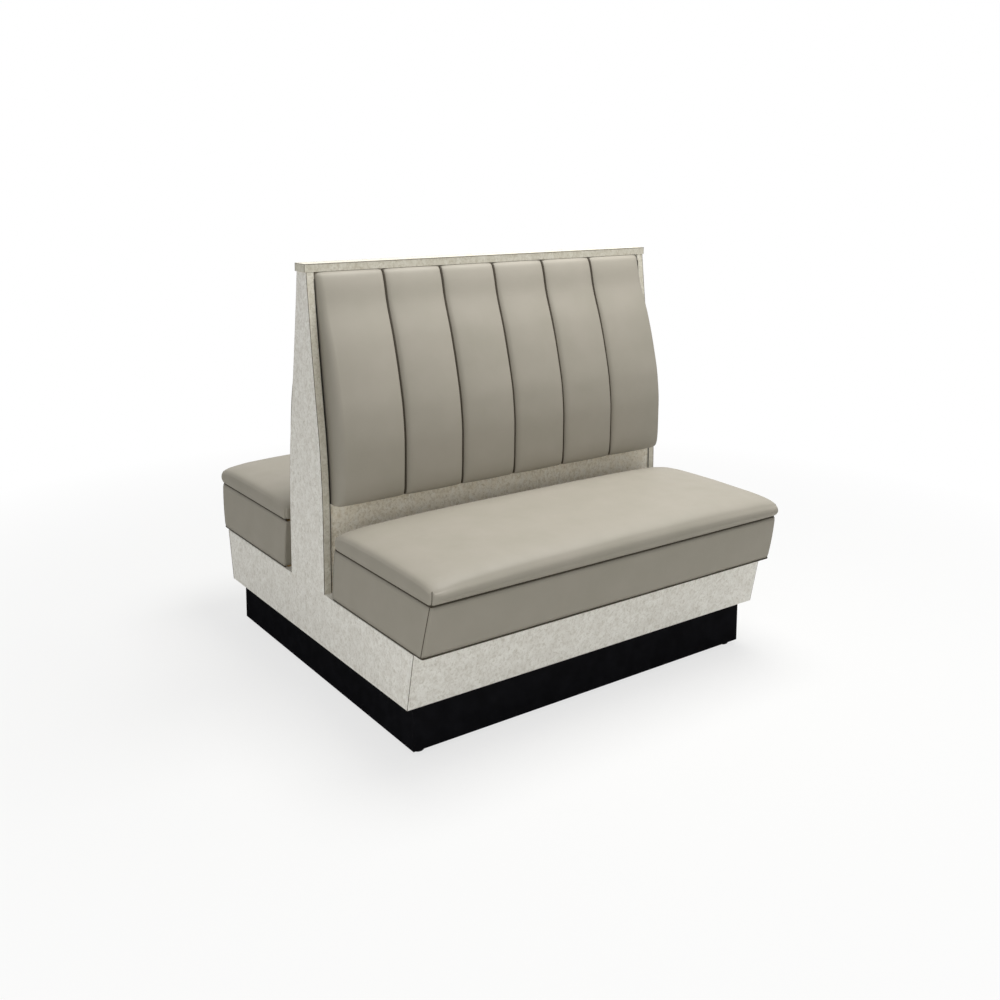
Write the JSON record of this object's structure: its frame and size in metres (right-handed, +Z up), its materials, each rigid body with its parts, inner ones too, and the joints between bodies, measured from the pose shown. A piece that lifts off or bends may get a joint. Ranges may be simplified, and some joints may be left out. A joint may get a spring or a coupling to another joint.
{
  "type": "double restaurant booth",
  "caption": "Back-to-back restaurant booth: channel-backed vinyl seats with crowned cushions between tapered laminate end panels on a recessed dark plinth.",
  "frame": {"origin": "on the floor, under the middle of the booth", "axes": "+X along the booth, +Y from the front seat to the rear seat, +Z up"},
  "size_m": [1.1, 1.1802, 1.067],
  "materials": {
    "laminate": "satin, fine mottled stone look",
    "edge_band": "satin",
    "vinyl": "satin, fine embossed grain",
    "vinyl_welt": "satin",
    "dark_piping": "satin",
    "toe_kick": "satin black",
    "plywood": "bare",
    "chipboard": "bare",
    "hardwood": "bare",
    "backer": "bare",
    "foam": "open cell",
    "felt": "needled",
    "spring_steel": "oiled",
    "zinc_steel": "zinc plated",
    "glide_nylon": "matt"
  },
  "bodies": {
    "root": {"back_ribs": "plywood", "back_top_rail": "plywood", "base_bottom_panel": "plywood", "base_shelves": "laminate", "cap_board": "chipboard", "cap_laminate": "laminate", "column_edge_strips": "edge_band", "crumb_boards": "plywood", "crumb_laminates": "laminate", "fascia_laminates": "laminate", "frame_screws": "zinc_steel", "front_fascia_board": "chipboard", "front_pad_cover": "vinyl", "front_pad_foam": "foam", "front_seat_box": "hardwood", "front_seat_box_wrap": "vinyl", "front_seat_platform": "plywood", "glide_tee_nuts": "zinc_steel", "left_end_laminate": "laminate", "left_end_panel": "chipboard", "pad_backers": "backer", "plinth_corner_blocks": "hardwood", "plinth_end_boards": "toe_kick", "plinth_front_board": "toe_kick", "plinth_rear_board": "toe_kick", "plinth_stretchers": "plywood", "rear_fascia_board": "chipboard", "rear_pad_cover": "vinyl", "rear_pad_foam": "foam", "rear_seat_box": "hardwood", "rear_seat_box_wrap": "vinyl", "rear_seat_platform": "plywood", "rib_brackets": "zinc_steel", "right_end_laminate": "laminate", "right_end_panel": "chipboard", "seat_bearers": "plywood", "seat_box_cleats": "hardwood", "seat_box_piping": "dark_piping"},
    "front_seat": {"front_seat_frame": "hardwood", "front_seat_springs": "spring_steel", "front_spring_clips": "spring_steel", "front_seat_insulator": "felt", "front_seat_foam": "foam", "front_seat_cover": "vinyl", "front_seat_welt": "vinyl_welt"},
    "rear_seat": {"rear_seat_frame": "hardwood", "rear_seat_springs": "spring_steel", "rear_spring_clips": "spring_steel", "rear_seat_insulator": "felt", "rear_seat_foam": "foam", "rear_seat_cover": "vinyl", "rear_seat_welt": "vinyl_welt"},
    "front_left_glide_pad": {"front_left_glide_pad": "glide_nylon"},
    "front_left_glide_stud": {"front_left_glide_stud": "zinc_steel"},
    "front_right_glide_pad": {"front_right_glide_pad": "glide_nylon"},
    "front_right_glide_stud": {"front_right_glide_stud": "zinc_steel"},
    "rear_left_glide_pad": {"rear_left_glide_pad": "glide_nylon"},
    "rear_left_glide_stud": {"rear_left_glide_stud": "zinc_steel"},
    "rear_right_glide_pad": {"rear_right_glide_pad": "glide_nylon"},
    "rear_right_glide_stud": {"rear_right_glide_stud": "zinc_steel"}
  },
  "joints": [
    {"name": "front_seat_tip", "type": "hinge", "parent": "root", "child": "front_seat", "pos_m": [0, -0.138, 0.384], "axis": [-1, 0, 0], "range_deg": [0, 34]},
    {"name": "rear_seat_tip", "type": "hinge", "parent": "root", "child": "rear_seat", "pos_m": [0, 0.138, 0.384], "axis": [1, 0, 0], "range_deg": [0, 34]},
    {"name": "front_left_glide_drop", "type": "slide", "parent": "root", "child": "front_left_glide_pad", "axis": [0, 0, -1], "range_m": [0, 0.012]},
    {"name": "front_left_stud_turn", "type": "hinge", "parent": "front_left_glide_pad", "child": "front_left_glide_stud", "pos_m": [-0.492, -0.437, 0.012], "axis": [0, 0, -1], "range_deg": [0, 3060]},
    {"name": "front_right_glide_drop", "type": "slide", "parent": "root", "child": "front_right_glide_pad", "axis": [0, 0, -1], "range_m": [0, 0.012]},
    {"name": "front_right_stud_turn", "type": "hinge", "parent": "front_right_glide_pad", "child": "front_right_glide_stud", "pos_m": [0.492, -0.437, 0.012], "axis": [0, 0, -1], "range_deg": [0, 3060]},
    {"name": "rear_left_glide_drop", "type": "slide", "parent": "root", "child": "rear_left_glide_pad", "axis": [0, 0, -1], "range_m": [0, 0.012]},
    {"name": "rear_left_stud_turn", "type": "hinge", "parent": "rear_left_glide_pad", "child": "rear_left_glide_stud", "pos_m": [-0.492, 0.437, 0.012], "axis": [0, 0, -1], "range_deg": [0, 3060]},
    {"name": "rear_right_glide_drop", "type": "slide", "parent": "root", "child": "rear_right_glide_pad", "axis": [0, 0, -1], "range_m": [0, 0.012]},
    {"name": "rear_right_stud_turn", "type": "hinge", "parent": "rear_right_glide_pad", "child": "rear_right_glide_stud", "pos_m": [0.492, 0.437, 0.012], "axis": [0, 0, -1], "range_deg": [0, 3060]}
  ],
  "couplings": [
    {"joint": "front_left_glide_drop", "follows": "front_left_stud_turn", "m_per_rad": 0.00022457},
    {"joint": "front_right_glide_drop", "follows": "front_right_stud_turn", "m_per_rad": 0.00022457},
    {"joint": "rear_left_glide_drop", "follows": "rear_left_stud_turn", "m_per_rad": 0.00022457},
    {"joint": "rear_right_glide_drop", "follows": "rear_right_stud_turn", "m_per_rad": 0.00022457}
  ]
}
